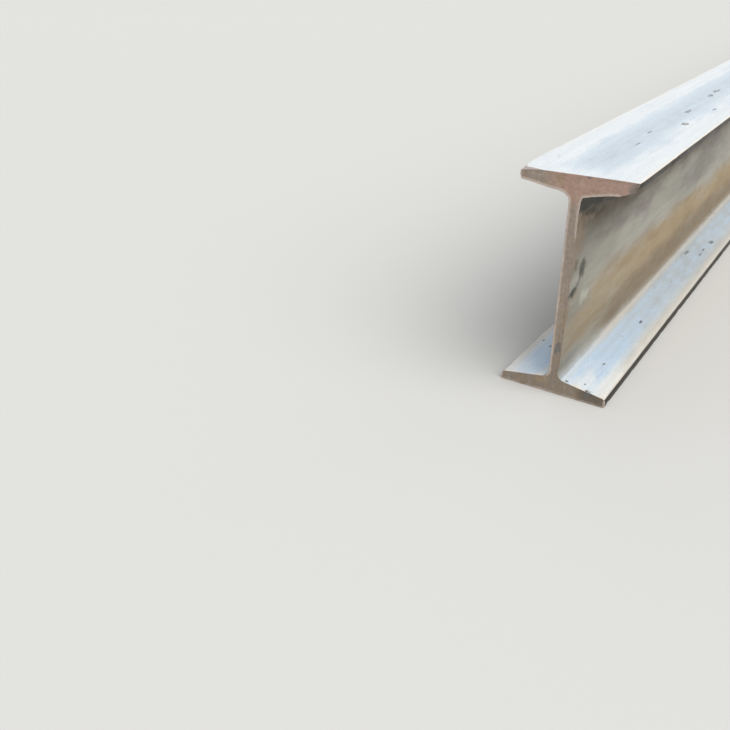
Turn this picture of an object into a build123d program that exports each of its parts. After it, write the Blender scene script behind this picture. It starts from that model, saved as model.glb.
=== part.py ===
from build123d import *
import os

# A hot-rolled steel joist with tapered flanges, in millimetres.
# It lies on its bottom flange with its length along Y, its web upright and its flanges across X.
# The origin is at the middle of the bottom face.

# Stock length
length = 6000.0

# Rolled section
depth = 200.0
flange_width = 100.0
web_thickness = 7.0
# A tapered flange is gauged halfway between the web's face and the flange's toe.
flange_thickness = 11.4
# The inner face of a flange drops by this much for each millimetre towards the toe.
flange_slope = 1 / 6
root_radius = 9.0
toe_radius = 4.5
# The rolls leave the outer corners of the flanges just off sharp.
corner_radius = 1.0

# Derived section sizes, measured from the centre of the section
half_depth = depth / 2
half_flange = flange_width / 2
half_web = web_thickness / 2
outstand = half_flange - half_web
toe_height = half_depth - flange_thickness + flange_slope * outstand / 2
root_height = toe_height - flange_slope * outstand
section_plane = Plane.XZ.shift_origin((0, 0, half_depth))

# One quarter of the section is drawn with its three rounded corners and mirrored about both middle lines.
with BuildPart() as i_beam:
    with BuildSketch(section_plane) as section:
        with BuildLine():
            Polyline(
                (0, 0),
                (half_web, 0),
                (half_web, root_height),
                (half_flange, toe_height),
                (half_flange, half_depth),
                (0, half_depth),
                close=True,
            )
        make_face()
        root = section.vertices().group_by(Axis.X)[1].sort_by(Axis.Y)[-1]
        fillet(root, root_radius)
        toe = section.vertices().group_by(Axis.X)[-1].sort_by(Axis.Y)[0]
        fillet(toe, toe_radius)
        outer_corner = section.vertices().group_by(Axis.X)[-1].sort_by(Axis.Y)[-1]
        fillet(outer_corner, corner_radius)
        mirror(about=Plane.YZ)
        mirror(about=Plane.XZ)
    extrude(amount=length / 2, both=True)

i_beam.part.label = "i_beam"

os.makedirs("parts", exist_ok=True)
export_step(i_beam.part, "parts/i_beam.step")
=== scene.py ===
"""A stock length of hot-rolled steel I-beam with weathered mill scale, thin rust and sawn ends."""

import math
from types import SimpleNamespace

import bmesh
import bpy
import numpy as np
from bpy.props import FloatProperty, FloatVectorProperty, IntProperty, PointerProperty
from mathutils import Matrix, Vector


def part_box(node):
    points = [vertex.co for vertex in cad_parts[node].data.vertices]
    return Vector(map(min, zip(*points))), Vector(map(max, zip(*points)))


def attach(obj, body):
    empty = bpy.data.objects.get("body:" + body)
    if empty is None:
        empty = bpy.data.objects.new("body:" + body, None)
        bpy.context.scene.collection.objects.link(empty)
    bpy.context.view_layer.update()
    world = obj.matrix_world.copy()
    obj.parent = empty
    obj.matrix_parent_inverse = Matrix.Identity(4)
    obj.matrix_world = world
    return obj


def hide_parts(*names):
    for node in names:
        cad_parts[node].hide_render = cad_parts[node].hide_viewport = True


bl_info = {
    "name": "Rolled steel beam",
    "version": (1, 0, 0),
    "blender": (4, 5, 0),
    "location": "3D View > Sidebar > Beam",
    "description": "Builds a hot-rolled tapered-flange beam with mill scale, rust and sawn ends",
    "category": "Object",
}

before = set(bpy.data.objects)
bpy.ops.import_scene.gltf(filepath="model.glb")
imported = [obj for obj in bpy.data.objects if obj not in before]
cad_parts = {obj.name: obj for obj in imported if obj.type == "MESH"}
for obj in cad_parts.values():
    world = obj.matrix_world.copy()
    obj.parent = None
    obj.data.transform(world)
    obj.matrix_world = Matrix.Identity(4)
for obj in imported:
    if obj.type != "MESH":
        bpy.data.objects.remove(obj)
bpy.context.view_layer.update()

MM = 0.001
NODE = "i_beam"
BODY = "root"
LOW, HIGH = (np.array(corner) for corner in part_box(NODE))


def srgb(text):
    """Linear colour with alpha of an sRGB hex colour such as "8C949B"."""
    parts = [int(text[i:i + 2], 16) / 255 for i in (0, 2, 4)]
    linear = [p / 12.92 if p <= 0.04045 else ((p + 0.055) / 1.055) ** 2.4 for p in parts]
    return (*linear, 1.0)


def length(name, description, default):
    """A length that a user can change, given in millimetres and kept in metres."""
    value = default * MM
    return FloatProperty(
        name=name, description=description, default=value, min=0.0, unit="LENGTH", precision=5
    )


def colour(name, description, text):
    """A colour that a user can change, given as sRGB hex."""
    value = srgb(text)
    return FloatVectorProperty(
        name=name, description=description, default=value, size=4, min=0.0, max=1.0, subtype="COLOR"
    )


def number(name, description, default, **kind):
    """A plain number, or three of them, that a user can change, with its unit where it has one."""
    made = FloatVectorProperty if isinstance(default, tuple) else FloatProperty
    return made(name=name, description=description, default=default, **kind)


class BeamSection(bpy.types.PropertyGroup):
    """The rolled section. Its depth, flange width and length come from the frame."""

    web: length("Web", "Thickness of the web", 7.0)
    flange: length("Flange", "Thickness of a flange halfway between web and toe", 11.4)
    slope: number("Slope", "Fall of a flange's inner face to its toe", 1 / 6)
    root_radius: length("Root radius", "Fillet between web and flange", 9.0)
    toe_radius: length("Toe radius", "Rounding of a flange's inner edge", 4.5)
    corner_radius: length("Corner radius", "Rounding of a flange's outer edge", 1.0)


class BeamWear(bpy.types.PropertyGroup):
    """How far the real surface departs from the drawn one."""

    roll_wave: length("Roll wave", "Height of the long waves that the rolls leave", 0.2)
    edge_nick: length("Edge nick", "Depth of the nicks along the toes", 0.55)
    corner_wear: length("Corner wear", "Extra rounding of a flange's battered outer edge", 2.0)
    nose: length("Nose", "Extra rounding of the near end's top left toe", 3.0)
    nose_push: length("Nose push", "How far the near end's top left toe is pushed in", 2.5)
    cut_sink: length("Cut sink", "How far the sawn face lies behind its own burr", 0.3)
    burr_height: length("Burr height", "How far the burr stands off where the blade leaves", 2.1)
    burr_reach: length("Burr reach", "How far the burr runs back along the beam", 4.5)
    tear_height: length("Tear height", "Relief of the torn metal on the web beside the cut", 1.3)
    knock: length("Knock", "Depth of the knock at the near end's top right toe", 2.7)
    bevel: length("Bevel", "Drop of the near end's top left corner", 1.2)
    crumb: length("Crumb", "Size of a crumb of loose scale", 2.2)
    crumbs: IntProperty(name="Crumbs", description="Number of crumbs", default=48, min=3)


class BeamColours(bpy.types.PropertyGroup):
    """Colours of the oxide skin, the rust and the cut faces, some with painted light and shade."""

    scale_dark: colour("Scale, dark", "Thick mill scale", "8B887E")
    scale_light: colour("Scale, light", "Thin mill scale", "AEABA0")
    scale_mauve: colour("Scale, mauve", "Scale in its cooler tint", "A09A9B")
    # Haze, frost and the cool film are partly a real weathered film and partly painted sky
    # reflection: faces that look up are painted paler, the bottom flanges' middles bluer.
    film_and_sheen: colour("Haze", "Weathered film on faces that look up", "D3E0EB")
    frost: colour("Frost", "Palest patches of the film", "EFF3F4")
    blue_sky_tint: colour("Cool film", "Film in the middle of the bottom flanges", "C3DCF6")
    warm: colour("Warm film", "Film towards the toes and in the root", "D8D1C4")
    tan: colour("Tan", "Thin rust washed down the web", "AD9368")
    brown: colour("Brown", "Rust settled low on the web", "8A785E")
    # Grime and soot are partly dirt and partly painted shade: the web is darkened under the top
    # flange as if shaded by it, darkest in its root.
    dirt_and_shade: colour("Grime", "Dark dirt under the top flange", "46391F")
    dirt_and_root_shade: colour("Soot", "Darkest dirt in the root of the top flange", "201A08")
    # Toe is painted shade: the flanges' toe sides are darkened as if in shadow.
    toe: colour("Toe", "Dull side of a flange's toe", "2E2922")
    # Bright edge is rubbed metal with a painted highlight, laid on the corners and edges that look
    # up.
    speck: colour("Speck", "Dark flecks of thick scale", "66696B")
    rubbed_edge_and_highlight: colour("Bright edge", "Rubbed metal along corners and toes", "F0E8DC")
    cut_pink: colour("Cut, pink", "Fresher rust on the sawn face", "AF9182")
    cut_grey: colour("Cut, grey", "Dulled rust on the sawn web", "9C8E82")
    cut_olive: colour("Cut, olive", "Older rust on the sawn face", "908374")
    cut_tan: colour("Cut, tan", "Yellower rust on the sawn face", "A28C6C")
    cut_dark: colour("Cut, dark", "Damp and battered spots of the sawn face", "655B50")
    nose: colour("Nose", "Rubbed rust of the near end's top left corner", "AFA19C")
    # Chip is broken steel, and the darker spots over it are painted shade where the broken toe
    # turns away.
    chip: colour("Chip", "Broken steel of the near end's top right toe", "8B7E79")
    burr: colour("Burr", "Rubbed burr round the cut", "C4B4A8")
    smear: colour("Smear", "Rusted burr that the blade dragged over the web", "8C7863")
    # The tear's pale marks are bare metal with a painted highlight on its raised ridges; the notch
    # is painted shadow.
    tear_pale: colour("Tear", "Metal laid bare by the tear", "BCBFAF")
    tear_dark: colour("Notch", "Shadowed bottom of the tear", "34372F")
    crumb: colour("Crumb", "Loose scale", "4A4844")


class BeamStage(bpy.types.PropertyGroup):
    """Floor, light and camera, whose places are measured from the near end's bottom edge."""

    floor: colour("Floor", "Colour of the floor", "DEDEDB")
    behind: colour("Behind", "Colour seen beyond the floor, the same as the lit floor's", "E3E3E0")
    sky_tint: colour("Sky tint", "Colour of the light from all round", "F2F7FF")
    sky: number("Sky", "Strength of the light from straight above", 0.5)
    side: number("Side", "Strength of the light from the sides", 0.4)
    lamp_tint: colour("Lamp tint", "Colour of both lamps", "FFFBF5")
    softness: number("Softness", "Angle that a lamp fills", math.radians(70), unit="ROTATION")
    lamp: number("Lamp", "Strength of the soft lamp on the open side", 2.3)
    lamp_from: number("Lamp from", "Direction of the soft lamp", (1.0, -0.42, 1.35))
    back: number("Back lamp", "Strength of the soft lamp behind", 0.35)
    back_from: number("Back lamp from", "Direction of the lamp behind", (-0.15, 0.85, 0.55))
    eye: number("Eye", "Place of the camera", (0.2001, -0.5694, 0.3551), unit="LENGTH")
    aim: number("Aim", "Point it looks at", (-0.1565, -0.0724, 0.0148), unit="LENGTH")
    roll: number("Roll", "Turn about its line of sight", math.radians(-1.19), unit="ROTATION")
    lens: number("Lens", "Focal length on a 36 mm wide sensor", 36.49, unit="CAMERA")


# Shapes. From here to the meshes every length is in millimetres, x is measured from the middle of
# the web, y from the near end and z from the bottom face.

# The noises: their largest patch, or its size in X, Y and Z, their seed and how many layers.
NOISES = {
    "roll_wave": ((70, 260, 70), 11, 3),
    "toe_nicks": ((14, 11, 14), 23, 2),
    "burr": ((5, 60, 5), 37, 3),
    "tear_outline": (6, 51, 3),
    "smear_edge": (7, 59, 3),
    "shreds": ((4, 3, 4), 67, 2),
    "rim": (9, 73, 3),
    "near_scratches": (30, 91, 3),
    "near_grain": (5, 92, 3),
    "far_scratches": (30, 97, 3),
    "far_grain": (5, 98, 3),
    "chips": (6, 103, 3),
    "cut_line": (5, 113, 3),
    "corners": ((90, 45, 90), 131, 3),
    "rust_drift": ((500, 420, 500), 151, 3),
    "rust_patches": ((500, 620, 130), 157, 3),
    "foot_rub": (7, 163, 3),
}


def smooth(value, start, end):
    """0 before start, 1 after end, and an S curve between."""
    part = np.clip((value - start) / (end - start), 0.0, 1.0)
    return part * part * (3 - 2 * part)


def lattice_noise(points, seed):
    """Random values at whole-number points, joined by S curves in all three directions: 0 to 1."""
    values = np.random.default_rng(seed).random(4096)
    cell = np.floor(points).astype(np.int64)
    part = points - cell
    part = part * part * (3 - 2 * part)
    total = 0.0
    for corner in np.ndindex(2, 2, 2):
        x, y, z = np.moveaxis(cell + corner, -1, 0)
        weight = np.prod(np.where(corner, part, 1 - part), axis=-1)
        total = total + weight * values[(x * 73856093 ^ y * 19349663 ^ z * 83492791) & 4095]
    return total


def noise(points, name):
    """The named noise, 0 to 1: layers, each half as large and half as strong as the one before."""
    size, seed, layers = NOISES[name]
    scaled = points / np.asarray(size, float)
    total = sum(lattice_noise(scaled * 2 ** k + 17.3 * k, seed + k) / 2 ** k for k in range(layers))
    return total / (2 - 2 ** (1 - layers))


def beam_sizes(section):
    """The section's sizes in millimetres, with the heights and places that follow from them."""
    width, run, depth = (HIGH - LOW) / MM
    half_depth, half_width, half_web = depth / 2, width / 2, section.web / MM / 2
    slope, root, toe = section.slope, section.root_radius / MM, section.toe_radius / MM
    tilt = math.atan(slope)
    return SimpleNamespace(
        run=run, depth=depth, half_depth=half_depth, half_width=half_width, half_web=half_web,
        slope=slope, tilt=tilt, root=root, toe=toe, corner=section.corner_radius / MM,
        toe_height=half_depth - section.flange / MM + slope * (half_width - half_web) / 2,
        root_x=half_web + root * (1 - math.sin(tilt)),
        toe_x=half_width - toe * (1 - math.sin(tilt)),
    )


def inner_face(size, x):
    """Height of the upper flange's inner face above the section's middle, sloping to the web."""
    return size.toe_height - size.slope * (size.half_width - abs(x))


def straight(start, end, steps):
    """Evenly spaced points from start towards end, the end left out."""
    start, end = np.array(start, float), np.array(end, float)
    return start + (end - start) * np.linspace(0, 1, steps + 1)[:-1, None]


def arc(centre, radius, start, end, steps):
    """Points on a circle from one angle towards another, the last left out."""
    angle = np.linspace(start, end, steps + 1)[:-1, None]
    return np.array(centre) + radius * np.hstack([np.cos(angle), np.sin(angle)])


def quarter(size, detail):
    """The section's upper right quarter, from the top's middle round the toe to the web's middle.

    Returns the outline and the point of the section's middle line that each of its points faces.
    Points above each other on a flange face the same middle point, and so do the two sides of the
    web, so both ends close along the middle line.
    """
    s = size
    short, fillet, flange, web = 2 * detail, 4 * detail, 9 * detail, 15 * detail
    inner_root, inner_toe = (s.root_x, inner_face(s, s.root_x)), (s.toe_x, inner_face(s, s.toe_x))
    toe_centre = (s.half_width - s.toe, inner_toe[1] + s.toe * math.cos(s.tilt))
    root_centre = (s.half_web + s.root, inner_root[1] - s.root * math.cos(s.tilt))
    corner_centre = (s.half_width - s.corner, s.half_depth - s.corner)
    top, top_root, top_toe, top_corner = [
        (x, s.half_depth) for x in (0, s.root_x, s.toe_x, corner_centre[0])
    ]
    side_corner, side_toe = (s.half_width, corner_centre[1]), (s.half_width, toe_centre[1])
    web_root, web_middle = (s.half_web, root_centre[1]), (s.half_web, 0)
    core_root, core_toe = [(x, (s.half_depth + z) / 2) for x, z in (inner_root, inner_toe)]
    # The middle line forks a little below the flange's middle, so that its faces stay even.
    fork, core_web = (0.0, core_root[1] - 1.5), (0.0, root_centre[1])
    up, down = math.pi / 2, -math.pi / 2
    halfway = (up + s.tilt + math.pi) / 2
    stretches = [
        (straight(top, top_root, fillet), straight(fork, core_root, fillet)),
        (straight(top_root, top_toe, flange), straight(core_root, core_toe, flange)),
        (straight(top_toe, top_corner, short), None),
        (arc(corner_centre, s.corner, up, 0, short), None),
        (straight(side_corner, side_toe, short), None),
        (arc(toe_centre, s.toe, 0, down + s.tilt, fillet), None),
        (straight(inner_toe, inner_root, flange), straight(core_toe, core_root, flange)),
        (arc(root_centre, s.root, up + s.tilt, halfway, fillet), straight(core_root, fork, fillet)),
        (arc(root_centre, s.root, halfway, math.pi, fillet), straight(fork, core_web, fillet)),
        (straight(web_root, web_middle, web), straight(core_web, (0, 0), web)),
    ]
    outline = np.vstack([edge for edge, _ in stretches] + [[web_middle]])
    # The toe's stretches all face the middle line's end.
    faced = [
        np.repeat([core_toe], len(edge), axis=0) if core is None else core
        for edge, core in stretches
    ]
    return outline, np.vstack(faced + [np.zeros((1, 2))])


def closed_section(size, detail):
    """The whole outline, clockwise from the near end, with its outward normals and middle line.

    The quarter is mirrored twice. A normal is the outline's direction turned by a right angle.
    """
    whole = []
    for points in quarter(size, detail):
        there, back = points[:-1], points[:0:-1]
        whole.append(np.vstack([there, back * (1, -1), there * (-1, -1), back * (-1, 1)]))
    outline, middle = whole
    along = np.roll(outline, -1, axis=0) - np.roll(outline, 1, axis=0)
    normal = np.stack([-along[:, 1], along[:, 0]], axis=1)
    normal /= np.linalg.norm(normal, axis=1, keepdims=True)
    return outline, normal, middle


def stations(start, end, steps):
    """Distances from start to end, with steps interpolated between (distance, step) pairs."""
    places = [start]
    while places[-1] < end:
        places.append(places[-1] + np.interp(places[-1], *zip(*steps)))
    share = (np.array(places) - start) / (places[-1] - start)
    return start + share * (end - start)


# Torn metal on the web's right side beside the near cut. Each mark has its distance behind the cut,
# its height, half-length and half-width, the turn of its long side from level, its relief as a
# share of the tear's, and how far it is bared with a painted highlight, or darkened by painted
# shadow where that is below 0.
TEARS = (
    (19, 114, 9, 6, 1.2, 0.6, 0),
    (20, 104, 8, 5, 0.3, 0.5, 0.45),
    (41, 86, 9, 4.5, 0.9, 0.5, 0.75),
    (49, 80, 13, 5.5, 0.5, 0.6, 0.85),
    (9, 76, 7, 3.5, 1.3, 0.4, 0),
    (34.5, 111.5, 8.5, 6.8, 1.5, -1.1, -1),
    (16.5, 93, 10.5, 4.6, 0.35, -1.2, -1),
    (18, 127, 8, 3.5, 1.3, -0.4, -0.4),
    (14, 116, 14, 7, 0.2, -0.2, -0.55),
    (39, 108, 11, 9, 0.5, -0.2, -0.6),
    (20, 95, 13, 8, 0.3, -0.2, -0.5),
)
# The knock at the near end's top right toe: its middle's x and z on the cut and its reach.
KNOCK = (50.0, 189.5, 8.5)
# Where the near end's top left toe is pushed in most, as x and z on the cut, and how far round.
NOSE = (-50.0, 196.5, 8.0)
# How far the rusted burr reaches back over the web: (height, distance) pairs.
SMEAR_REACH = (
    (25, 2), (58, 6), (70, 18), (80, 20), (92, 11), (110, 15),
    (118, 30), (126, 43), (148, 46), (157, 62), (165, 22), (174, 5),
)
# Dark flecks listed beside the random ones: the middle's x, y and z, and the half-sizes across
# and along the beam. In height a fleck reaches twice as far as across.
FLECKS = (
    (20, 240, 200, 4.2, 9), (6, 308, 200, 2.4, 13), (8, 129, 200, 1.2, 8),
    (2, 183, 200, 1.2, 8), (3, 421, 200, 3, 10), (1, 458, 200, 3, 13),
    (27, 333, 200, 1.6, 7), (28.7, 168, 11.1, 1.9, 5), (28, 58, 11.2, 1, 2.5),
    (31, 404, 10.7, 1.8, 8), (30, 428, 10.9, 1.5, 7), (32, 462, 10.5, 2.8, 9),
    (16, 397, 13.2, 2.2, 9), (12.3, 4.5, 13.8, 1.7, 2.2), (27, 12, 11.4, 0.9, 1.5),
    (33, 2, 10.4, 3.6, 4.2), (37, 0.5, 9.8, 2, 2), (45, 0, 6, 2.6, 1.5),
    (11, 0, 200, 1.8, 1.6), (1.4, 0, 45, 3, 1.5), (4, 0, 78, 1.3, 1.5),
    (-3, 0, 108, 1.2, 1.5),
)


def tears(back, height):
    """Relief of the tear, how far it is bared with a painted highlight and how far painted shadow
    darkens it, each a sum of bell curves.

    A curve's exponent is the squared distance from the mark's middle in half-lengths and
    half-widths.
    """
    relief, bare, dark = 0.0, 0.0, 0.0
    for mark_back, mark_height, half_length, half_width, turn, own_relief, own_shade in TEARS:
        along = (back - mark_back) * math.cos(turn) + (height - mark_height) * math.sin(turn)
        across = (height - mark_height) * math.cos(turn) - (back - mark_back) * math.sin(turn)
        bell = np.exp(-(along / half_length) ** 2 - (across / half_width) ** 2)
        relief = relief + own_relief * bell
        bare = bare + max(own_shade, 0) * bell
        dark = dark + max(-own_shade, 0) * bell
    return relief, bare, dark


def rubbed(points, normal):
    """How bright the burr's edge is round a cut: most under the top flange and on the web's left.

    The bottom flange shows it on its right toe and its underside, and the top right toe doesn't.
    """
    x, _, z = points.T
    across, up = normal.T
    upper = smooth(z, 135, 160)
    under = smooth(-up, 0.3, 0.8) * (z > 100)
    web = smooth(abs(across), 0.5, 0.9) * np.where(x < 0, 0.8, 0.1 + 0.9 * upper)
    foot = (0.5 * smooth(-up, 0.5, 0.9) + 0.8 * smooth(across, 0.5, 0.9) * (x > 40)) * (z < 20)
    kept = 1 - smooth(x, 34, 40) * (z > 100)
    return np.maximum(np.maximum(under, web), np.maximum(foot, 0.12)) * kept


def fresh(x, z):
    """How fresh a cut's rust is: least on the bottom flange, most on the top's middle and right."""
    return 0.55 * smooth(z, 20, 100) + 0.45 * smooth(z, 160, 188) * smooth(x, -36, -6)


def cut_corner(x, y):
    """How far, in millimetres, a point lies inside the near end's bevelled top left corner."""
    return -0.4 * (x + 27) - y


def burr_share(size, x, z, normal):
    """How much burr the blade left: most on the web's right and under the top flange's right.

    There is a little on the left and none on the section's outer faces.
    """
    across, up = normal.T
    over_face = abs(z - size.half_depth) > size.half_depth - 0.5
    outer = (abs(x) > size.half_width - 0.5 * size.toe) | over_face
    right = smooth(across, 0.3, 0.9) * smooth(z, 15, 35)
    under = smooth(-up, 0.3, 0.9) * smooth(z, 150, 170) * (0.3 + 0.7 * smooth(x, -4, 4))
    return np.where(outer, 0.0, 0.12 + 0.88 * np.maximum(right, under))


def near_cut(y):
    """1 at the near cut, falling away along the beam as a bell curve."""
    return np.exp(-(y / 26) ** 2)


def battered(size, points, wear):
    """Rounds the flanges' outer corners, and pushes in the near end's top left toe.

    The rounding's radius varies along the length, and a point beyond the circle that touches both
    outer faces is pulled back onto it. The push falls away round its middle as a bell curve, more
    slowly along the beam, and goes a little downwards.
    """
    x, y, z = points.T
    radius = size.corner + wear.corner_wear * smooth(noise(points, "corners"), 0.5, 0.8)
    radius = radius + wear.nose * near_cut(y) * (x < 0) * (z > size.half_depth)
    across = abs(x) - (size.half_width - radius)
    upward = abs(z - size.half_depth) - (size.half_depth - radius)
    reach = np.hypot(across, upward)
    beyond = (across > 0) & (upward > 0) & (reach > radius)
    kept = np.where(beyond, radius / np.maximum(reach, 1e-6), 1.0)
    shifted = points.copy()
    shifted[:, 0] -= np.sign(x) * across * (1 - kept)
    shifted[:, 2] -= np.sign(z - size.half_depth) * upward * (1 - kept)
    nose_x, nose_z, far = NOSE
    away = (x - nose_x) ** 2 + (0.6 * y) ** 2 + (z - nose_z) ** 2
    push = wear.nose_push * np.exp(-away / far ** 2)
    return shifted + push[:, None] * (1.0, 0.0, -0.3)


def wear_walls(size, wear, points, normal, spacing):
    """Moves points of the rolled faces along their normals, and marks where tear and burr are.

    The move is the sum of long roll waves, nicks along the toes, the burr beside each cut, the
    tear, the knock and the bevel. The waves never rise above the drawn outer faces. The burr falls
    off as the square of the distance from the cut. Last the corners are battered.
    """
    x, y, z = points.T
    across, up = normal.T
    outside = np.maximum(abs(x) - size.half_width, abs(z - size.half_depth) - size.half_depth)
    wave = noise(points, "roll_wave") - 0.5 - 0.5 * smooth(outside, -2.0, -0.2)
    tip = smooth(abs(x), size.toe_x - 1.0, size.half_width - 0.3)
    # Nicks are shallower where the rings stand too far apart to draw them.
    nick = smooth(noise(points, "toe_nicks"), 0.62, 0.82) * np.clip(6.0 / spacing, 0.15, 1.0)
    move = wear.roll_wave * wave - wear.edge_nick * tip * nick
    ragged = 0.7 + 0.7 * noise(points, "burr")
    share = burr_share(size, x, z, normal) * ragged
    for gap, part in ((y, 1.0), (size.run - y, 0.6)):
        fall = np.clip(1 - gap / wear.burr_reach, 0, 1) ** 2
        move = move + wear.burr_height * part * share * fall
    warp = 9.0 * (noise(points, "tear_outline") - 0.5)
    right_web = smooth(across, 0.8, 0.98) * smooth(size.half_web + 2.0 - abs(x), 0, 1)
    relief, bare, dark = (part * right_web for part in tears(y + warp, z - warp))
    shred = 0.35 + 1.3 * noise(points, "shreds")
    move = move + wear.tear_height * relief * np.where(relief > 0, shred, 1.0)
    knock_x, knock_z, far = KNOCK
    away = (x - knock_x) ** 2 + y ** 2 + (z - knock_z) ** 2
    move = move - wear.knock * np.exp(-away / far ** 2)
    top = smooth(up, 0.5, 0.9) * (z > size.half_depth)
    move = move - wear.bevel * top * np.clip(cut_corner(x, y) / 7, 0, 1)
    moved = points + move[:, None] * np.stack([across, np.zeros(len(x)), up], axis=1)
    gap = np.minimum(y, size.run - y)
    reach = np.interp(z, *zip(*SMEAR_REACH)) * (0.7 + 0.6 * noise(points, "smear_edge"))
    rim = (1 - smooth(gap, 0.5, 2.9)) * (0.45 + 0.6 * noise(points, "rim"))
    smeared = (1 - smooth(gap, 0.2 * reach, 1.3 * reach)) * smooth(abs(across), 0.8, 0.98)
    top_left = np.maximum(top, (x < -40) * (z > 188))
    said = {
        "rim": rim * rubbed(points, normal),
        "smear": smeared * (abs(x) < 12),
        "rust": top_left * smooth(cut_corner(x, y) + 3 * (ragged - 1), -1.0, 1.5),
        "fresh": fresh(x, z),
        "tear": np.clip(bare * (0.7 + 0.3 * shred), 0, 1),
        "notch": np.clip(dark, 0, 1),
    }
    return battered(size, moved, wear), said


def fading(y):
    """1 up to 60 mm from the near cut, 0 beyond 320 mm and an S curve between."""
    return 1 - smooth(y, 60, 320)


def pale_film(size, points, up):
    """How thick the weathered film lies, and where it is blue, warm or palest. Its colour is partly
    the real film and partly painted reflection of the bright sky, so faces that look up are painted
    paler.

    It is the sum of a share that grows with the slope and one that only level faces have. It thins
    out along the bottom flange and is thinner along the middle of the top one. The blue tint,
    painted sky light, lies in the middle of each bottom flange, the warm one towards its toe and in
    its root.
    """
    x, y, z = points.T
    wide, rise, level = abs(x), np.maximum(up, 0), smooth(up, 0.7, 0.98)
    lower = z < size.half_depth
    sloped = 0.46 - 0.12 * smooth(y, 60, 240)
    flat = 0.52 - 0.27 * smooth(y, 25, 120) - 0.06 * smooth(y, 150, 340)
    below = sloped * rise + flat * smooth(up, 0.82, 0.98)
    above = 0.6 * rise + 0.4 * smooth(up, 0.8, 0.98)
    # The film, with the sheen painted in it, is thinner along the top flange's middle.
    worn = 0.36 * (1 - smooth(wide, 6, 32)) * (1 - near_cut(y)) * ~lower
    middle = smooth(wide, 9, 15) * (1 - smooth(wide, 33, 42))
    toes = np.where(lower, 0.95, 0.5) * smooth(wide, 33, 47)
    root = lower * (1 - smooth(wide, 8, 16)) * (0.2 + 0.5 * smooth(y, 20, 130))
    # The palest film is painted sky reflection too, brightest by the near cut and towards the toes.
    pale_below = 0.2 * near_cut(y) + 0.2 * fading(y) * smooth(wide, 33, 40)
    pale_above = 0.25 * near_cut(y) * (1 - smooth(wide, 12, 30)) + 0.35 * smooth(wide, 6, 40)
    return {
        "film_and_sheen": np.where(lower, below, above) * (1 - worn),
        "blue_sky_tint": level * lower * middle * (0.48 + 0.52 * np.exp(-y / 100)),
        "warm": np.maximum(np.maximum(toes, root), 0.15 * lower) * smooth(up, 0.5, 0.95),
        "pale": level * np.where(lower, pale_below, pale_above),
    }


def washed_rust(size, points, up):
    """Bands of height on the web: thin rust washed down it, rust settled low, and dirt with painted
    shade high up under the top flange.

    The bands drift up and down along the beam with slow noise, apart on the web's two sides, and
    widen or thin out with the distance from the near cut.
    """
    x, y, z = points.T
    sided = np.stack([np.sign(x) * 900, y, z * 0], axis=1)
    drifted = z + 30 * (noise(sided, "rust_drift") - 0.5)
    patchy = 0.45 + 0.9 * noise(sided + points * (0, 0, 1), "rust_patches")
    upright = 1 - smooth(abs(up), 0.6, 0.95)
    washed = smooth(drifted, 5, 28) * (1 - smooth(drifted, 60, 106)) * upright
    settled = (1 - smooth(drifted, 26, 62 + 14 * smooth(y, 150, 400))) * upright
    # Dirt settles in the root of the bottom flanges and thins out towards their toes.
    root = (1 - smooth(abs(x), 6, 15)) * (1 - smooth(z, 17, 27))
    # The dirt and painted shade under the top flange begin this high, higher by the near cut and
    # past 320 mm from it.
    dirt_from = 100 + 24 * np.exp(-(y / 70) ** 2) + 12 * smooth(y, 320, 450)
    inside = abs(x) < size.half_width - 0.3
    browned = settled * (0.3 + patchy) * (0.4 + 0.52 * smooth(y, 30, 220))
    return {
        "tan": washed * (patchy + 0.25 * smooth(y, 120, 300)) * (1 - 0.3 * np.exp(-(y / 60) ** 2)),
        "brown": np.maximum(browned, 0.6 * root),
        "dirt_and_shade": smooth(z, dirt_from, 178) * (1 - 0.25 * smooth(-up, 0.3, 0.9)) * inside,
    }


def weather(size, points, normal):
    """Where each colour of the rolled skin lies, 0 to 1.

    Besides the film and the rust, the toes' sides are darkened with painted shade. The outer
    corners that look up, the bottom toes' upper edges and spots of the bottom flange beside the
    cuts are rubbed bright, with a painted highlight on them.
    """
    x, y, z = points.T
    across, up = normal.T
    film = pale_film(size, points, up)
    corner = np.hypot(size.half_width - abs(x), size.half_depth - abs(z - size.half_depth))
    toe = smooth(abs(x), size.toe_x - 2.5, size.toe_x + 0.5)
    over_toe = smooth(up, 0.5, 0.85) * (z < size.half_depth)
    gap = np.minimum(y, size.run - y)
    by_cut = (1 - smooth(gap, 2, 13)) * (z < 30) * noise(points, "foot_rub")
    # The bottom toes' upper edges and spots by the cuts are rubbed bright, partly a painted
    # highlight.
    low_rub_and_highlight = (0.15 + 0.35 * fading(y)) * toe * over_toe + by_cut * film["film_and_sheen"]
    edges = {
        # Toe marks painted shade on the flanges' toe sides.
        "toe": smooth(abs(across), 0.55, 0.9) * toe,
        "edge": np.maximum((1 - smooth(corner, 0.7, 2.2)) * (up > 0.3), low_rub_and_highlight),
    }
    return film | washed_rust(size, points, up) | edges


# The saw's blade: its centre's x and z and the spacing of its scratches.
BLADE = (-330.0, 260.0, 3.1)


def cut_lift(points, end):
    """Distance of a cut face's points behind the cut plane, apart from the sink.

    It is the saw's shallow curved scratches, the sine of the distance from the blade's centre with
    up to 2 mm of noise, plus grain.
    """
    blade_x, blade_z, spacing = BLADE
    from_blade = np.hypot(points[:, 0] - blade_x, points[:, 2] - blade_z)
    wandered = from_blade + 2 * noise(points, end + "_scratches")
    scratches = 0.06 * np.sin(2 * math.pi * wandered / spacing)
    return scratches + 0.5 * (noise(points, end + "_grain") - 0.35)


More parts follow.
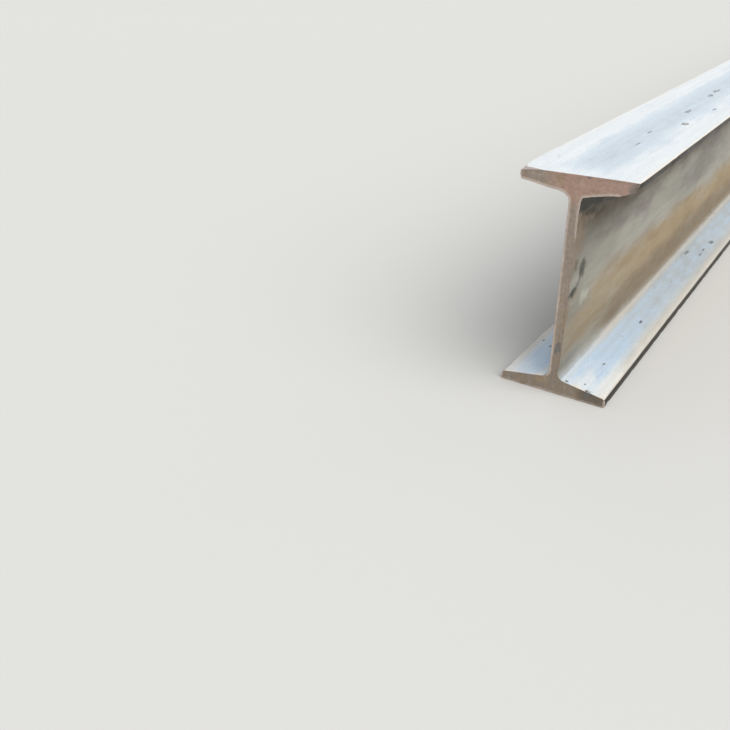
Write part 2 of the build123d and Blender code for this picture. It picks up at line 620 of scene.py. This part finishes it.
def chipped(size, x, z):
    """Extra depth of the cut where the near end's right toes are chipped, most at their tips."""
    tip, top = size.half_width, size.depth
    corner = smooth(x, tip - 13, tip - 1) * smooth(z, top - 20, top - 12)
    dent = 1.6 * np.exp(-((x - tip + 3) / 5) ** 2 - ((z - top + 9) / 4) ** 2)
    bottom = smooth(x, tip - 26, tip - 8) * smooth(z, 0, 6) * (z < 20)
    return 1.9 * corner + dent + 1.3 * bottom


# How far a cut face's rings lie from the outline, as shares of the way to the middle line.
CAP_SHARES = (0.05, 0.12, 0.22, 0.36, 0.55, 0.78, 1.0)


def cap_rings(size, wear, ring, normal, middle, near):
    """Rings that close an end, from just inside the outline to the middle line, and their marks.

    The face sinks behind the burr along an S curve of the distance from the outline, and the near
    end's chips are set back further.
    """
    rings, said = [], []
    edge = ring[:, [0, 2]]
    plane, side = (0.0, 1.0) if near else (size.run, -1.0)
    bright = rubbed(ring, normal)
    for share in CAP_SHARES:
        flat = edge + (middle - edge) * share
        points = np.stack([flat[:, 0], np.zeros(len(flat)), flat[:, 1]], axis=1)
        # The least gap keeps the last ring's points together where wear has moved the outline in.
        gap = np.maximum(np.linalg.norm(flat - edge, axis=1), 1.6 * share)
        chip = chipped(size, *flat.T) * near
        depth = wear.cut_sink * smooth(gap, 0.0, 1.6)
        depth = depth + cut_lift(points, "near" if near else "far") * smooth(gap, 0.3, 1.5)
        depth = depth + chip * noise(points, "chips") + 0.12
        points[:, 1] = plane + side * np.maximum(depth, 0.0)
        rings.append(points)
        ragged = (0.45 + 0.6 * noise(points, "rim")) * bright
        said.append({
            "rim": (1 - smooth(gap, 0.9, 2.9)) * ragged,
            # The chip mark also carries painted shade on the broken toe.
            "chip": np.clip(chip * 0.4, 0, 1) * (flat[:, 1] > 100),
            "fresh": fresh(*flat.T),
            "damp": smooth(flat[:, 0], 17, 34) * (flat[:, 1] < 20) * near,
        })
    return rings, said


def ring_faces(first, second):
    """Faces between neighbouring rings: quads where both have the same count of points.

    A ring is joined to one of half its count by three triangles to each pair of its points.
    """
    after = np.roll(second, -1)
    if len(first) == len(second):
        return np.stack([first, np.roll(first, -1), after, second], axis=1).tolist()
    even, odd = first[0::2], first[1::2]
    triples = ((even, odd, second), (odd, np.roll(even, -1), after), (odd, after, second))
    return np.vstack([np.stack(triple, axis=1) for triple in triples]).tolist()


def beam_shape(size, wear):
    """The beam as one tube of rings, from the middle line of the near end to that of the far end.

    The section is carried along the length at stations that lie close together near the ends.
    Besides the rings and their marks it returns how many rings close each end.
    """
    fine, coarse = closed_section(size, 2), closed_section(size, 1)
    # Rings up to close have twice the points. Those beyond worn_run aren't seen from near by.
    close, worn_run, run = 100.0, 640.0, size.run
    near = stations(0.0, close, [(0, 0.5), (4, 1.0), (9, 1.6), (60, 1.8), (close, 3.2)])
    steps = [
        (close, 4.0), (200, 6.0), (worn_run, 7.0), (worn_run + 500, 45.0), (run - 450, 45.0),
        (run - 90, 4.0), (run - 10, 1.6), (run, 0.5),
    ]
    rest = stations(close, run, steps)[1:]
    rings, said = [], []
    raised = np.array([0.0, size.half_depth])
    for places, (outline, normal, _) in ((near, fine), (rest, coarse)):
        for place, space in zip(places, np.gradient(places)):
            flat = outline + raised
            ring = np.stack([flat[:, 0], np.full(len(flat), place), flat[:, 1]], axis=1)
            worn, marked = wear_walls(size, wear, ring, normal, space)
            rings.append(worn)
            said.append(marked | weather(size, ring, normal))
    for ring, y, side in ((rings[0], 0.0, 1), (rings[-1], run, -1)):
        ring[:, 1] = y + side * 0.4 * noise(ring, "cut_line")
    cut = rings[0]
    chips = chipped(size, cut[:, 0], cut[:, 2]) * noise(cut, "chips")
    for place, ring in zip(near, rings):
        ring[:, 1] += chips * max(0.0, 1 - place / 9)
    front, front_said = cap_rings(size, wear, rings[0], fine[1], fine[2] + raised, True)
    end, end_said = cap_rings(size, wear, rings[-1], coarse[1], coarse[2] + raised, False)
    return front[::-1] + rings + end, front_said[::-1] + said + end_said, len(front), len(end)


def joined_marks(rings, said):
    """One array of values for each mark over all rings, 0 where a ring doesn't have the mark."""
    joined = {}
    for name in sorted(set().union(*said)):
        values = [marked.get(name, np.zeros(len(ring))) for ring, marked in zip(rings, said)]
        joined[name] = np.concatenate(values)
    return joined


# Crumbs given one by one: how far each lies right of the middle and behind the near end.
SET_CRUMBS = ((12.3, 4.5), (31.5, 3.0), (28.7, 168.0))


def crumb_shapes(size, wear):
    """Lumps lying on the bottom flange's inner faces.

    Each is a ball of rings and spokes, squashed, dented, turned and set down. The first are given
    one by one. The others' places are random, drawn towards the near end by a power of the random
    share.
    """
    random = np.random.default_rng(7)
    count, rows, spokes = wear.crumbs, 4, 7
    lift = np.linspace(0.25, math.pi - 0.25, rows)
    turn = np.arange(spokes) * 2 * math.pi / spokes
    level = np.outer(np.sin(lift), np.exp(1j * turn)).ravel()
    ball = np.stack([level.real, level.imag, np.repeat(np.cos(lift), spokes)], axis=1)
    radius = wear.crumb / 2 * (0.3 + 0.9 * random.random((count, 1, 1)) ** 2)
    dents = 0.7 + 0.6 * random.random((count, len(ball), 1))
    turned = np.exp(1j * random.random(count) * 2 * math.pi)[:, None]
    lumps = ball * dents * radius * np.array([1.0, 1.6, 0.5])
    spun = (lumps[..., 0] + 1j * lumps[..., 1]) * turned
    x = size.root_x + 1.0 + (size.toe_x - size.root_x - 2.0) * random.random(count)
    y = 20.0 + (size.run - 40.0) * random.random(count) ** 1.8
    x = x * np.where(random.random(count) < 0.5, -1, 1)
    by_hand = len(SET_CRUMBS)
    x[:by_hand], y[:by_hand] = zip(*SET_CRUMBS)
    z = size.half_depth - inner_face(size, x) - 0.1
    places = np.stack([x, y, z], axis=1)[:, None, :]
    lumps = np.stack([spun.real, spun.imag, lumps[..., 2]], axis=-1) + places
    grid = np.arange(rows * spokes).reshape(rows, spokes)
    around = np.roll(grid, -1, axis=1)
    sides = np.stack([grid[1:], around[1:], around[:-1], grid[:-1]], axis=-1).reshape(-1, 4)
    shift = np.arange(count)[:, None, None] * len(ball)
    patches = (sides, grid[:1], grid[-1:, ::-1])
    faces = [(shift + patch).reshape(-1, patch.shape[1]).tolist() for patch in patches]
    return lumps.reshape(-1, 3), sum(faces, [])


# Meshes


def new_object(name, data):
    """An object at the origin that shows the given data."""
    made = bpy.data.objects.new(name, data)
    bpy.context.collection.objects.link(made)
    return made


def put_mesh(name, vertices, faces, marks_by_name, weld=()):
    """Makes an object at the origin from vertices in millimetres, with their marks.

    The vertices whose numbers are in weld are merged where they coincide.
    """
    placed = np.clip(np.asarray(vertices) * MM + (0.0, LOW[1], LOW[2]), LOW, HIGH)
    mesh = bpy.data.meshes.new(name)
    mesh.from_pydata(placed.tolist(), [], faces)
    for mark, values in marks_by_name.items():
        attribute = mesh.attributes.new(mark, "FLOAT", "POINT")
        attribute.data.foreach_set("value", np.asarray(values, np.float32))
    built = bmesh.new()
    built.from_mesh(mesh)
    built.verts.ensure_lookup_table()
    bmesh.ops.remove_doubles(built, verts=[built.verts[i] for i in weld], dist=1e-6)
    built.to_mesh(mesh)
    built.free()
    mesh.shade_smooth()
    return new_object(name, mesh)


def in_millimetres(group):
    """A group's lengths in millimetres and its counts as they are."""
    values = {name: getattr(group, name) for name in group.__annotations__}
    return SimpleNamespace(**{n: v if isinstance(v, int) else v / MM for n, v in values.items()})


# Materials


def node(tree, kind, feeds=(), out=0, **settings):
    """Adds a node with its settings, and gives each listed socket a value or what feeds it.

    Returns the output with the given name or number, or the node itself where it has none.
    """
    made = tree.nodes.new("ShaderNode" + kind)
    for name, value in settings.items():
        setattr(made, name, value)
    for socket, value in dict(feeds).items():
        if isinstance(value, bpy.types.NodeSocket):
            tree.links.new(value, made.inputs[socket])
        else:
            made.inputs[socket].default_value = value
    return made.outputs[out] if made.outputs else made


def new_material(name):
    """A material with an empty node tree, and its object coordinates."""
    made = bpy.data.materials.new(name)
    made.use_nodes = True
    made.node_tree.nodes.clear()
    return made, made.node_tree, node(made.node_tree, "TexCoord", out="Object")


def patterns(tree, place, listed):
    """Noise patterns by name.

    Each is listed as (patch size in millimetres, stretch along the beam, detail, roughness).
    """
    made = {}
    for name, (size, stretch, detail, roughness) in listed.items():
        mapped = node(tree, "Mapping", {"Vector": place, "Scale": (1.0, 1.0 / stretch, 1.0)})
        feeds = {"Vector": mapped, "Scale": 1.0 / (size * MM), "Detail": detail}
        made[name] = node(tree, "TexNoise", {**feeds, "Roughness": roughness})
    return made


def layered(tree, skin, layers, made):
    """Lays colours over a skin, one upon the other.

    A layer is (mark, pattern, share, start, end, most, colour). Its colour comes in along an S
    curve, up to most, as the mesh's mark plus a share of the pattern passes from start to end.
    Without a mark it follows the pattern alone.
    """
    for mark, pattern, share, start, end, most, tint in layers:
        held = node(tree, "Attribute", out="Fac", attribute_name=mark) if mark else 0.0
        spread = node(tree, "Math", {0: made[pattern], 1: share, 2: held}, operation="MULTIPLY_ADD")
        feeds = {"Value": spread, "From Min": start, "From Max": end, "To Max": most}
        factor = node(tree, "MapRange", feeds, interpolation_type="SMOOTHSTEP")
        skin = node(tree, "Mix", {0: factor, 6: skin, 7: tint}, 2, data_type="RGBA")
    return skin


def flecked(tree, place, ragged):
    """A pattern that is above 0 on the listed flecks.

    It is a noise less the distance to the nearest fleck, in half-sizes.
    """
    nearest = 9.0
    for x, y, z, across, along in FLECKS:
        middle = (x * MM, y * MM + LOW[1], z * MM + LOW[2])
        shifted = node(tree, "VectorMath", {0: place, 1: middle}, operation="SUBTRACT")
        shares = (1 / (across * MM), 1 / (along * MM), 1 / (2 * across * MM))
        scaled = node(tree, "VectorMath", {0: shifted, 1: shares}, operation="MULTIPLY")
        distance = node(tree, "VectorMath", {0: scaled}, "Value", operation="LENGTH")
        nearest = node(tree, "Math", {0: nearest, 1: distance}, operation="MINIMUM")
    spread = node(tree, "Math", {0: ragged, 1: 3.0}, operation="MULTIPLY")
    return node(tree, "Math", {0: spread, 1: nearest}, operation="SUBTRACT")


def shaded(tree, skin, pattern, ranges):
    """The skin made darker and lighter by a pattern that is mapped from one range to another."""
    value = node(tree, "MapRange", {"Value": pattern, **ranges})
    return node(tree, "VectorMath", {0: skin, 1: value}, operation="MULTIPLY")


def surface(tree, skin, feeds):
    """The principled shader with the skin as its base colour, and the material's output."""
    shader = node(tree, "BsdfPrincipled", {"Base Color": skin, **feeds})
    node(tree, "OutputMaterial", {"Surface": shader})


def mill_scale(tint):
    """Mill scale, the hard blue-grey oxide skin that hot rolling leaves on steel.

    It gives the eye a dull sheen with faint lengthwise streaks. Months outdoors have left a pale
    film on what looks up, painted paler and bluer as a reflection of the bright sky, thin tan rust
    down the web and dirt under the top flange, darkened further as painted shade. The toes' sides
    are painted dark as shade. Handling has rubbed the corners bright, and the corners that look up
    carry a painted highlight too.
    """
    made, tree, place = new_material("mill_scale")
    # Cloud is how the scale varies from one hand's breadth to the next, and streak is the rolls'
    # drawing-out. Blotch and mottle are rain spotting. Fleck is flaked scale 2 to 6 mm long, and
    # cluster is where it lies thick. Flake breaks up the torn and smeared metal, ragged the listed
    # flecks. Grain is drawn coarser than the real 0.1 mm pits.
    made_of = patterns(tree, place, {
        "cloud": (60, 4, 3, 0.5),
        "blotch": (22, 4, 3, 0.55),
        "streak": (5, 40, 3, 0.55),
        "mottle": (9, 3.4, 4, 0.6),
        "fleck": (7, 3, 2, 0.4),
        "cluster": (90, 2, 2, 0.5),
        "flake": (5, 1.2, 3, 0.6),
        "grain": (1.5, 1.5, 2, 0.6),
        "ragged": (3.4, 2.2, 3, 0.65),
    })
    film = node(tree, "Attribute", out="Fac", attribute_name="film_and_sheen")
    made_of["film"] = film
    # Each sum is a share of the first pattern plus the whole of the second.
    sums = {
        "sparse": ("cluster", 0.6, "fleck"),
        "speck": ("film", 0.04, "sparse"),
        "clouded": ("mottle", 0.6, "blotch"),
        "drawn": ("streak", 0.7, "grain"),
        "relief": ("mottle", 0.6, "drawn"),
    }
    for name, (first, share, second) in sums.items():
        feeds = {0: made_of[first], 1: share, 2: made_of[second]}
        made_of[name] = node(tree, "Math", feeds, operation="MULTIPLY_ADD")
    frosted = {0: made_of["clouded"], 1: film}
    made_of["frost"] = node(tree, "Math", frosted, operation="MULTIPLY")
    made_of["spot"] = flecked(tree, place, made_of["ragged"])
    skin = layered(tree, tint.scale_dark, [
        ("", "cloud", 1.0, 0.3, 0.62, 1.0, tint.scale_light),
        ("", "blotch", 1.0, 0.5, 0.72, 0.6, tint.scale_mauve),
        ("tan", "blotch", 1.3, 0.8, 1.7, 0.85, tint.tan),
        ("brown", "blotch", 0.9, 0.6, 1.4, 0.85, tint.brown),
        # Grime and soot lay dirt with painted shade under the top flange, darkest in its root.
        ("dirt_and_shade", "blotch", 0.8, 0.35, 1.25, 0.95, tint.dirt_and_shade),
        ("dirt_and_shade", "mottle", 0.8, 1.1, 1.42, 0.95, tint.dirt_and_root_shade),
        # Haze, cool and pale lay the weathered film with painted sky reflection on what looks up.
        ("film_and_sheen", "mottle", 0.35, 0.2, 0.95, 0.97, tint.film_and_sheen),
        ("blue_sky_tint", "mottle", 0.8, 0.6, 1.4, 0.9, tint.blue_sky_tint),
        ("warm", "blotch", 0.9, 0.6, 1.4, 0.8, tint.warm),
        ("pale", "frost", 1.0, 0.66, 1.12, 0.7, tint.frost),
        # Toe lays painted shade on the flanges' toe sides.
        ("toe", "mottle", 0.4, 0.4, 0.9, 0.97, tint.toe),
        ("", "speck", 1.0, 1.09, 1.17, 0.45, tint.speck),
        ("", "spot", 1.0, 0.5, 0.9, 0.7, tint.speck),
        # Edge lays rubbed metal with a painted highlight on the corners that look up.
        ("edge", "mottle", 0.9, 0.75, 1.35, 0.9, tint.rubbed_edge_and_highlight),
        ("rust", "mottle", 0.7, 0.6, 1.1, 0.9, tint.nose),
        ("smear", "flake", 1.6, 1.18, 2.0, 0.9, tint.smear),
        # Tear lays bare metal with a painted highlight, notch painted shadow in the tear.
        ("tear", "flake", 0.9, 0.68, 1.4, 0.9, tint.tear_pale),
        ("notch", "flake", 0.8, 0.62, 1.5, 0.88, tint.tear_dark),
        ("rim", "mottle", 0.6, 0.5, 1.1, 0.9, tint.burr),
    ], made_of)
    shades = {"From Min": 0.6, "From Max": 1.1, "To Min": 0.9, "To Max": 1.06}
    skin = shaded(tree, skin, made_of["drawn"], shades)
    sheens = {"From Min": 0.3, "From Max": 0.7, "To Min": 0.36, "To Max": 0.52}
    spread = node(tree, "MapRange", {"Value": made_of["mottle"], **sheens})
    rough = node(tree, "Math", {0: film, 1: 0.14, 2: spread}, operation="MULTIPLY_ADD")
    metal = node(tree, "MapRange", {"Value": film, "To Min": 0.3, "To Max": 0.06})
    pits = {"Height": made_of["relief"], "Distance": 0.25 * MM, "Strength": 0.3}
    bump = node(tree, "Bump", pits)
    feel = {"Roughness": rough, "Normal": bump, "Metallic": metal, "Specular IOR Level": 0.2}
    surface(tree, skin, feel)
    return made


def sawn_steel(tint):
    """Rusted sawn steel, cut by a friction saw and left in the rain, with a thin matt rust.

    It gives the eye a dry brown, pink where it is fresher and olive where it stayed damp, drawn out
    in faint lines across the blade's path, with a lighter line where the burr is rubbed.
    """
    made, tree, place = new_material("sawn_steel")
    made_of = patterns(tree, place, {
        "patch": (30, 1, 3, 0.55),
        "blotch": (14, 1, 3, 0.55),
        "mottle": (7, 1, 4, 0.6),
        "grain": (2.2, 1, 3, 0.6),
    })
    leaning = {"Vector": place, "Rotation": (0.0, 0.5, 0.0), "Scale": (1.0, 1.0, 0.16)}
    turned = node(tree, "Mapping", leaning)
    lines = {"Vector": turned, "Scale": 1.0 / (3.0 * MM), "Detail": 3.0}
    made_of["lines"] = node(tree, "TexNoise", lines)
    made_of["spot"] = flecked(tree, place, made_of["mottle"])
    skin = layered(tree, tint.cut_olive, [
        ("fresh", "patch", 0.7, 0.45, 0.95, 1.0, tint.cut_grey),
        ("fresh", "patch", 0.9, 1.0, 1.5, 1.0, tint.cut_pink),
        ("", "blotch", 1.0, 0.5, 0.66, 0.55, tint.cut_tan),
        ("", "mottle", 1.0, 0.54, 0.8, 0.4, tint.cut_dark),
        ("", "lines", 1.0, 0.5, 0.7, 0.2, tint.burr),
        ("damp", "blotch", 1.0, 0.6, 1.5, 0.75, tint.cut_dark),
        # Chip lays broken steel and, darker, painted shade on the knocked toe.
        ("chip", "mottle", 0.7, 0.6, 1.0, 0.85, tint.chip),
        ("chip", "mottle", 0.9, 1.08, 1.6, 0.9, tint.cut_dark),
        ("", "spot", 1.0, 0.45, 0.9, 0.6, tint.speck),
        ("rim", "mottle", 0.6, 0.4, 1.0, 0.9, tint.burr),
    ], made_of)
    shades = {"From Min": 0.3, "From Max": 0.7, "To Min": 0.86, "To Max": 1.12}
    skin = shaded(tree, skin, made_of["grain"], shades)
    grooved = {0: made_of["lines"], 1: 0.35, 2: made_of["grain"]}
    relief = node(tree, "Math", grooved, operation="MULTIPLY_ADD")
    bump = node(tree, "Bump", {"Height": relief, "Distance": 0.35 * MM, "Strength": 0.5})
    surface(tree, skin, {"Roughness": 0.85, "Normal": bump})
    return made


def loose_scale(tint):
    """Loose scale and grit, flaked off and lying where it fell: dark, matt and crumbly."""
    made, tree, place = new_material("loose_scale")
    made_of = patterns(tree, place, {"mottle": (3, 1, 2, 0.5)})
    skin = layered(tree, tint.crumb, [("", "mottle", 1.0, 0.45, 0.7, 0.8, tint.brown)], made_of)
    surface(tree, skin, {"Roughness": 0.9})
    return made


def even_paint(name, tint):
    """Plain matt paint of one colour, for the stage."""
    made, tree, _ = new_material(name)
    surface(tree, tint, {"Roughness": 0.9, "Specular IOR Level": 0.0})
    return made


# Operators


class BEAM_OT_rolled_beam(bpy.types.Operator):
    """Build the beam with its worn faces, burr and sawn ends"""

    bl_idname = "beam.rolled_beam"
    bl_label = "Rolled beam"

    def execute(self, context):
        scene = context.scene
        size = beam_sizes(scene.beam_section)
        wear = in_millimetres(scene.beam_wear)
        rings, said, front, end = beam_shape(size, wear)
        starts = np.cumsum([0] + [len(ring) for ring in rings])
        numbers = [np.arange(a, b) for a, b in zip(starts[:-1], starts[1:])]
        strips = [ring_faces(first, second) for first, second in zip(numbers[:-1], numbers[1:])]
        # The walls' first two strips, the burr's first millimetre, have the cut's finish.
        walls = range(front + 2, len(strips) - end - 2)
        cut = [i not in walls for i in range(len(strips))]
        weld = np.concatenate([numbers[0], numbers[-1]]).tolist()
        faces = [face for strip in strips for face in strip]
        beam = put_mesh("rolled_beam", np.vstack(rings), faces, joined_marks(rings, said), weld)
        for made in (mill_scale(scene.beam_colours), sawn_steel(scene.beam_colours)):
            beam.data.materials.append(made)
        finish = np.repeat(cut, [len(strip) for strip in strips]).astype(np.int32)
        beam.data.polygons.foreach_set("material_index", finish)
        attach(beam, BODY)
        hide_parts(NODE)
        return {"FINISHED"}


class BEAM_OT_scale_crumbs(bpy.types.Operator):
    """Scatter crumbs of loose scale on the bottom flange"""

    bl_idname = "beam.scale_crumbs"
    bl_label = "Scale crumbs"

    def execute(self, context):
        scene = context.scene
        size = beam_sizes(scene.beam_section)
        vertices, faces = crumb_shapes(size, in_millimetres(scene.beam_wear))
        crumbs = put_mesh("scale_crumbs", vertices, faces, {})
        crumbs.data.materials.append(loose_scale(scene.beam_colours))
        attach(crumbs, BODY)
        return {"FINISHED"}


class BEAM_OT_stage(bpy.types.Operator):
    """Set up the floor, the soft light and the camera"""

    bl_idname = "beam.stage"
    bl_label = "Stage"

    def execute(self, context):
        stage = context.scene.beam_stage
        build_floor(stage)
        build_light(context.scene, stage)
        build_camera(context.scene, stage)
        return {"FINISHED"}


# The floor's radius and how far it lies below the beam, in metres.
FLOOR_RADIUS = 80.0
FLOOR_DROP = 0.1 * MM


def build_floor(stage):
    """A level round floor, a hair below the beam."""
    around = np.linspace(0, 2 * math.pi, 96, endpoint=False)
    edge = FLOOR_RADIUS * np.stack([np.cos(around), np.sin(around)], axis=1)
    placed = np.insert(edge, 2, LOW[2] - FLOOR_DROP, axis=1)
    mesh = bpy.data.meshes.new("floor")
    mesh.from_pydata(placed.tolist(), [], [list(range(len(placed)))])
    mesh.materials.append(even_paint("floor_paint", stage.floor))
    floor = new_object("floor", mesh)


def build_light(scene, stage):
    """A soft sky that is brighter above, and two soft lamps.

    The camera and reflections see the lit floor's colour in its place.
    """
    world = bpy.data.worlds.new("soft_sky")
    world.use_nodes = True
    tree = world.node_tree
    tree.nodes.clear()
    rise = node(tree, "SeparateXYZ", {0: node(tree, "TexCoord", out="Generated")}, 2)
    levels = {"From Min": -0.1, "From Max": 0.9, "To Min": stage.side, "To Max": stage.sky}
    strength = node(tree, "MapRange", {"Value": rise, **levels}, interpolation_type="SMOOTHSTEP")
    light = node(tree, "Background", {"Color": stage.sky_tint, "Strength": strength})
    seen = node(tree, "Background", {"Color": stage.behind, "Strength": 1.0})
    shown = 0.0
    for kind in ("Is Camera Ray", "Is Glossy Ray", "Is Transmission Ray"):
        ray = node(tree, "LightPath", out=kind)
        shown = node(tree, "Math", {0: shown, 1: ray}, operation="MAXIMUM")
    mixed = node(tree, "MixShader", {0: shown, 1: light, 2: seen})
    node(tree, "OutputWorld", {"Surface": mixed})
    scene.world = world
    lamps = (
        ("open_side", stage.lamp, stage.lamp_from),
        ("behind", stage.back, stage.back_from),
    )
    for name, energy, towards in lamps:
        data = bpy.data.lights.new(name, "SUN")
        data.energy = energy
        data.angle = stage.softness
        data.color = stage.lamp_tint[:3]
        lamp = new_object(name, data)
        lamp.rotation_euler = Vector(towards).to_track_quat("Z", "Y").to_euler()


def build_camera(scene, stage):
    """A camera at its place, looking at its aim and rolled about that line."""
    base = Vector((0.0, LOW[1], LOW[2]))
    eye, aim = base + Vector(stage.eye), base + Vector(stage.aim)
    data = bpy.data.cameras.new("camera")
    data.lens = stage.lens
    data.clip_end = 100.0
    camera = new_object("camera", data)
    looking = (aim - eye).to_track_quat("-Z", "Y").to_matrix().to_4x4()
    turned = looking @ Matrix.Rotation(stage.roll, 4, "Z")
    camera.matrix_world = Matrix.Translation(eye) @ turned
    scene.camera = camera
    scene.view_settings.view_transform = "Standard"


class BEAM_PT_panel(bpy.types.Panel):
    """Lists the steps and the values that they use"""

    bl_label = "Rolled beam"
    bl_idname = "BEAM_PT_panel"
    bl_space_type = "VIEW_3D"
    bl_region_type = "UI"
    bl_category = "Beam"

    def draw(self, context):
        for step in STEPS:
            self.layout.operator(step.bl_idname)
        for name, group in GROUPS.items():
            box = self.layout.box()
            box.label(text=group.__doc__)
            for value in group.__annotations__:
                box.prop(getattr(context.scene, name), value)


GROUPS = {
    "beam_section": BeamSection,
    "beam_wear": BeamWear,
    "beam_colours": BeamColours,
    "beam_stage": BeamStage,
}
STEPS = (BEAM_OT_rolled_beam, BEAM_OT_scale_crumbs, BEAM_OT_stage)


def register():
    for listed in (*GROUPS.values(), *STEPS, BEAM_PT_panel):
        bpy.utils.register_class(listed)
    for name, group in GROUPS.items():
        setattr(bpy.types.Scene, name, PointerProperty(type=group))


def unregister():
    for name in GROUPS:
        delattr(bpy.types.Scene, name)
    for listed in reversed((*GROUPS.values(), *STEPS, BEAM_PT_panel)):
        bpy.utils.unregister_class(listed)


def main():
    register()
    bpy.ops.beam.rolled_beam()
    bpy.ops.beam.scale_crumbs()
    bpy.ops.beam.stage()


if __name__ == "__main__":
    main()
